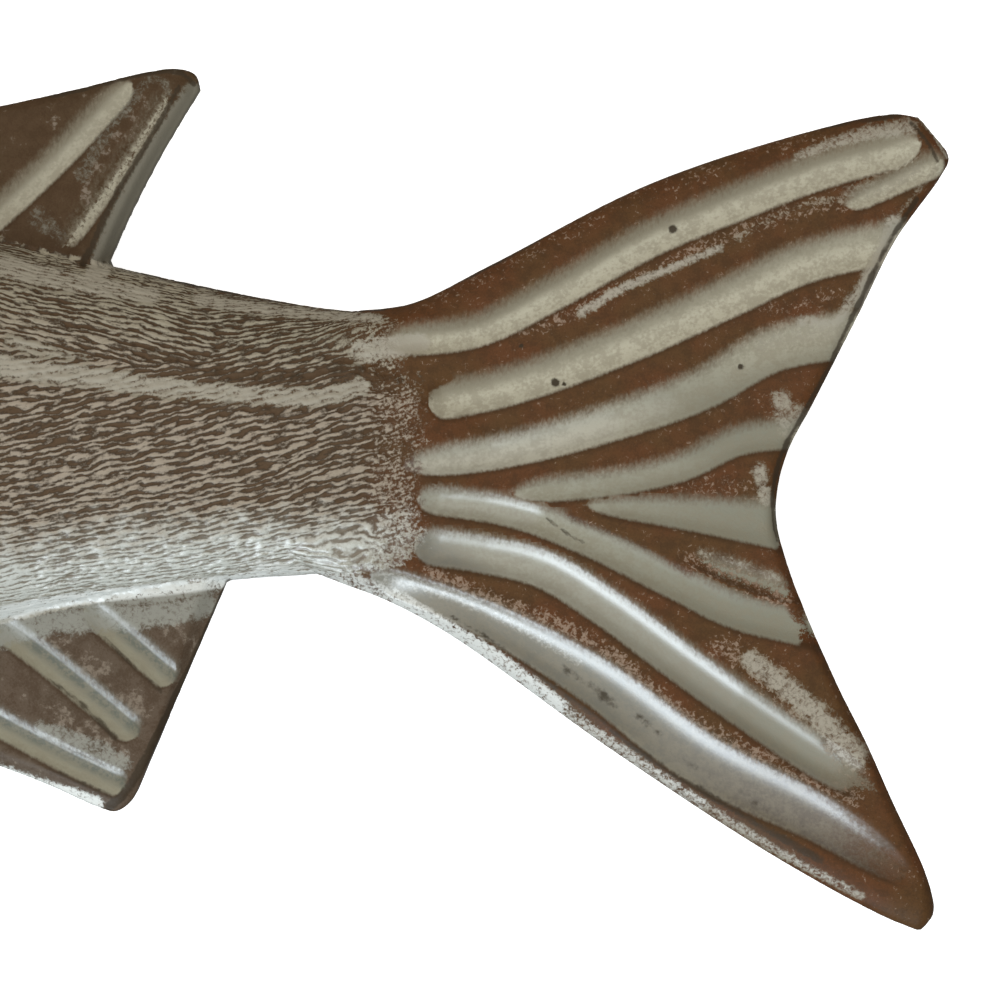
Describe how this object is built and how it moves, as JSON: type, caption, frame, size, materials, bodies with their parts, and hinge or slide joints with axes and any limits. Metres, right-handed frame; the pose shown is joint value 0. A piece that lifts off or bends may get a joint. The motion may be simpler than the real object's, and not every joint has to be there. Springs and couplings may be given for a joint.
{
  "type": "cast plastic fish figurine",
  "caption": "Cast fish figurine with fluted tail and fins and a limed brown finish, lying on a flat spot on its far flank.",
  "frame": {"origin": "in the plane the fish lies on, under the middle of its length and height", "axes": "+X from head to tail, +Y towards the back and dorsal fin, +Z out of the upper flank"},
  "size_m": [0.297, 0.1216, 0.044],
  "materials": {
    "limed_resin": "brown cast resin with a pale lime wash in the flutes and a satin clear coat"
  },
  "bodies": {
    "root": {"fish": "limed_resin"}
  },
  "joints": []
}
